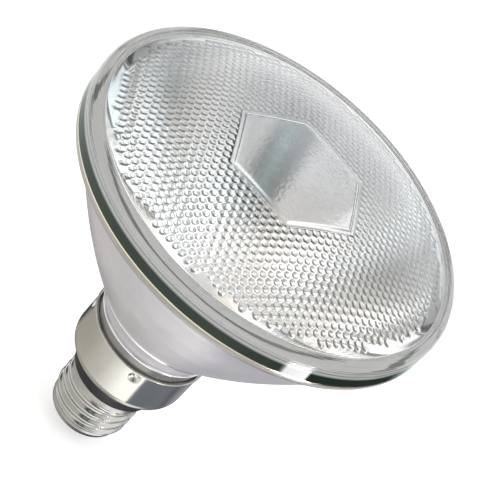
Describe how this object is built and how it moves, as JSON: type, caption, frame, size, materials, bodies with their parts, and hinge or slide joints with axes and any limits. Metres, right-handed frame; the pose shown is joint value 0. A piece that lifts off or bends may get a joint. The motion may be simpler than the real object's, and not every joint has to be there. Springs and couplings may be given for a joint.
{
  "type": "reflector spot lamp with screw cap",
  "caption": "Conical glass reflector lamp with a domed stippled lens, a hexagonal window, a bright metal skirt and a screw cap; screws into a lamp holder and throws a beam.",
  "frame": {"origin": "tip of the centre contact, on the lamp's axis, where the screw cap seats in its holder", "axes": "+Z along the lamp's axis from the contact to the lens; +X through a corner of the lens window and the two posts"},
  "size_m": [0.121, 0.121, 0.1292],
  "materials": {
    "lens_glass": "clear pressed glass, stippled on the inside",
    "mirrored_glass": "pressed glass, satin outside, bright aluminium mirror inside",
    "skirt_metal": "bright drawn metal",
    "black_moulding": "dark moulded insulation",
    "shell_metal": "bright rolled thread",
    "black_cap_glass": "black moulded glass",
    "contact_brass": "stamped brass",
    "solder": "frozen solder drop",
    "ferrule_metal": "dull pressed metal",
    "post_metal": "nickel plated rod",
    "burner_quartz": "clear quartz",
    "tungsten": "grey drawn wire",
    "lead_metal": "grey drawn wire",
    "copper_wire": "bare copper wire",
    "sleeve_fibre": "braided fibre sleeve"
  },
  "bodies": {
    "root": {"front_lens": "lens_glass", "reflector": "mirrored_glass", "skirt": "skirt_metal", "insulating_ring": "black_moulding", "screw_shell": "shell_metal", "cap_glass": "black_cap_glass", "centre_contact": "contact_brass", "contact_solder": "solder", "shell_solder": "solder", "ferrule_a": "ferrule_metal", "ferrule_b": "ferrule_metal", "post_a": "post_metal", "post_b": "post_metal", "burner_glass": "burner_quartz", "filament": "tungsten", "filament_lead_a": "lead_metal", "filament_lead_b": "lead_metal", "contact_wire": "copper_wire", "shell_wire": "copper_wire", "wire_sleeve": "sleeve_fibre"}
  },
  "joints": []
}
